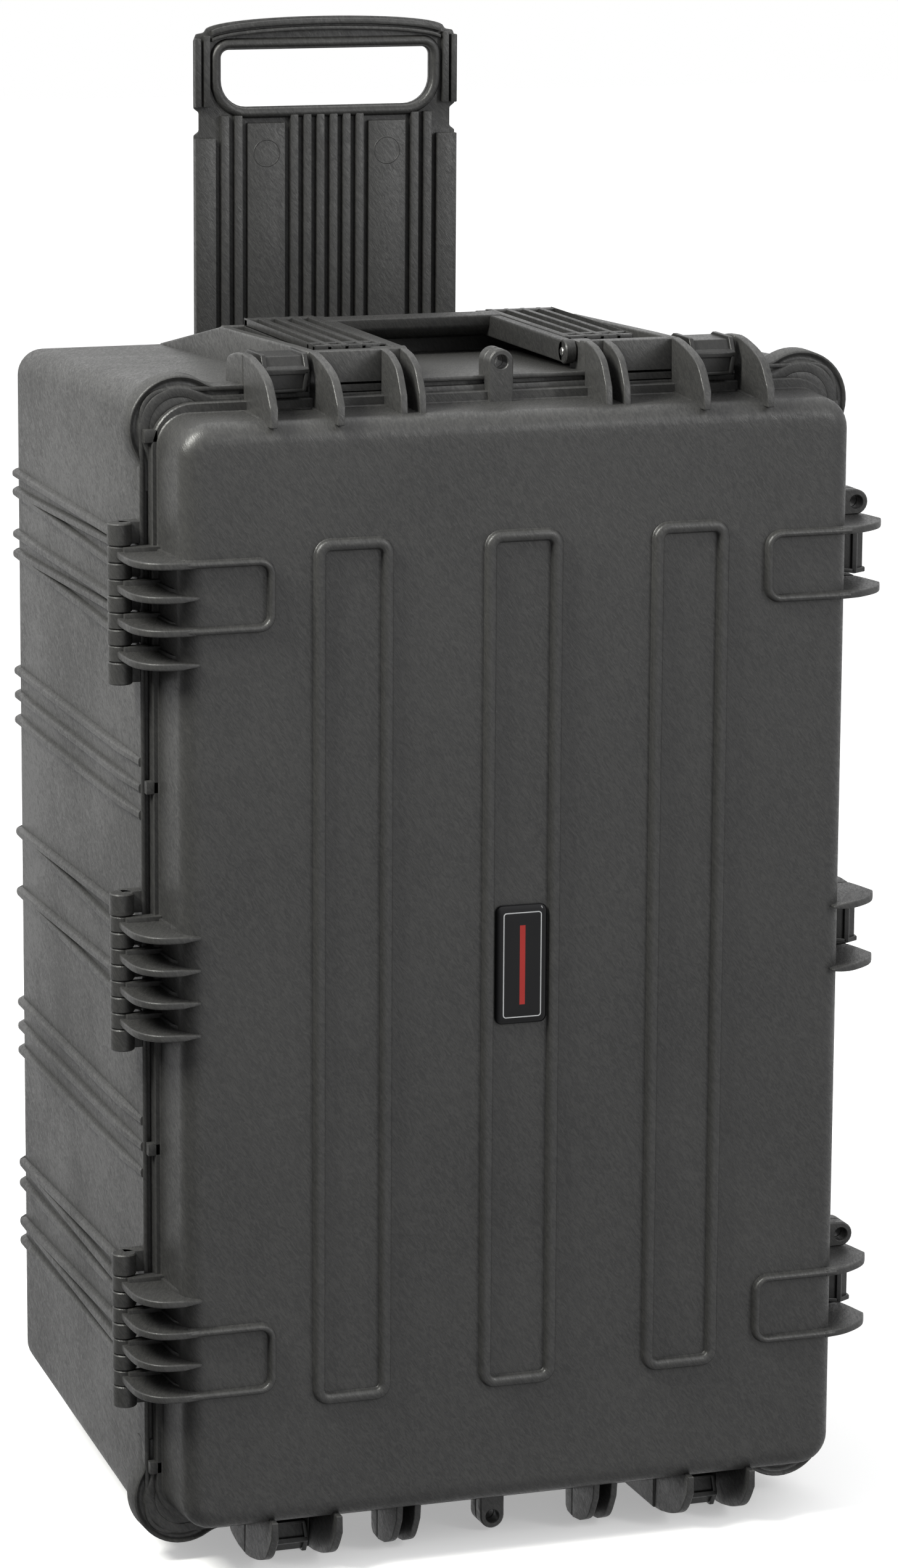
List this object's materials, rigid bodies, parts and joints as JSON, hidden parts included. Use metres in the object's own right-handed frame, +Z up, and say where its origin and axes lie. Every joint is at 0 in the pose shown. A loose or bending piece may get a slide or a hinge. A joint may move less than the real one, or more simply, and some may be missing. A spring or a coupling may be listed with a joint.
{
  "type": "wheeled hard equipment case",
  "caption": "Tall hard equipment case with hinged lid, fold-over latches, fold-down carry handle, sliding pull handle and recessed wheels, standing on end.",
  "frame": {"origin": "floor point under the middle of the case's plan outline, standing on end", "axes": "+Z up along the case's length and the pull handle, -Y out of the lid's front panel, +X towards the latch side, hinges at -X"},
  "size_m": [0.56, 0.456, 1.0605],
  "materials": {
    "shell": "moulded polypropylene, fine swirled grain, satin",
    "latch": "black moulded nylon, satin",
    "gasket": "soft black rubber",
    "tyre": "matt black rubber tread",
    "badge": "black domed resin, glossy, blank",
    "steel": "plain bright steel pin"
  },
  "bodies": {
    "case": {"base_shell": "shell", "rim_gasket": "gasket", "track_cover": "shell", "carry_pin_left": "steel", "carry_pin_right": "steel", "wheel_axle_left": "steel", "wheel_axle_right": "steel", "hinge_pin_low": "steel", "hinge_pin_middle": "steel", "hinge_pin_top": "steel", "latch_pin_side_low": "steel", "latch_pin_side_middle": "steel", "latch_pin_side_top": "steel", "latch_pin_top_left": "steel", "latch_pin_top_right": "steel", "latch_pin_bottom_left": "steel", "latch_pin_bottom_right": "steel"},
    "lid": {"lid_shell": "shell", "badge_plate": "badge"},
    "carry": {"carry_handle": "shell"},
    "pull": {"pull_handle": "shell"},
    "wheel_left": {"wheel_tyre_left": "tyre", "wheel_hub_left": "latch"},
    "wheel_right": {"wheel_tyre_right": "tyre", "wheel_hub_right": "latch"},
    "latch_side_low": {"latch_side_low": "latch"},
    "latch_side_middle": {"latch_side_middle": "latch"},
    "latch_side_top": {"latch_side_top": "latch"},
    "latch_top_left": {"latch_top_left": "latch"},
    "latch_top_right": {"latch_top_right": "latch"},
    "latch_bottom_left": {"latch_bottom_left": "latch"},
    "latch_bottom_right": {"latch_bottom_right": "latch"}
  },
  "joints": [
    {"name": "lid_hinge", "type": "hinge", "parent": "case", "child": "lid", "pos_m": [-0.2715, -0.163, 0.434], "axis": [0, 0, -1], "range_deg": [0, 110]},
    {"name": "carry_handle_pivot", "type": "hinge", "parent": "case", "child": "carry", "pos_m": [0, -0.139, 0.8495], "axis": [1, 0, 0], "range_deg": [0, 90]},
    {"name": "pull_handle_slide", "type": "slide", "parent": "case", "child": "pull", "axis": [0, 0, 1], "range_m": [-0.205, 0]},
    {"name": "latch_side_low_pivot", "type": "hinge", "parent": "case", "child": "latch_side_low", "pos_m": [0.267, -0.14, 0.1637], "axis": [0, 0, 1], "range_deg": [0, 120]},
    {"name": "latch_side_middle_pivot", "type": "hinge", "parent": "case", "child": "latch_side_middle", "pos_m": [0.267, -0.14, 0.434], "axis": [0, 0, 1], "range_deg": [0, 120]},
    {"name": "latch_side_top_pivot", "type": "hinge", "parent": "case", "child": "latch_side_top", "pos_m": [0.267, -0.14, 0.7043], "axis": [0, 0, 1], "range_deg": [0, 120]},
    {"name": "latch_top_left_pivot", "type": "hinge", "parent": "case", "child": "latch_top_left", "pos_m": [-0.1568, -0.14, 0.8485], "axis": [-1, 0, 0], "range_deg": [0, 120]},
    {"name": "latch_top_right_pivot", "type": "hinge", "parent": "case", "child": "latch_top_right", "pos_m": [0.1568, -0.14, 0.8485], "axis": [-1, 0, 0], "range_deg": [0, 120]},
    {"name": "latch_bottom_left_pivot", "type": "hinge", "parent": "case", "child": "latch_bottom_left", "pos_m": [-0.1568, -0.14, 0.0115], "axis": [1, 0, 0], "range_deg": [0, 120]},
    {"name": "latch_bottom_right_pivot", "type": "hinge", "parent": "case", "child": "latch_bottom_right", "pos_m": [0.1568, -0.14, 0.0115], "axis": [1, 0, 0], "range_deg": [0, 120]},
    {"name": "wheel_left_spin", "type": "hinge", "parent": "case", "child": "wheel_left", "pos_m": [-0.168, 0.174, 0.034], "axis": [1, 0, 0], "continuous": true},
    {"name": "wheel_right_spin", "type": "hinge", "parent": "case", "child": "wheel_right", "pos_m": [0.168, 0.174, 0.034], "axis": [1, 0, 0], "continuous": true}
  ]
}
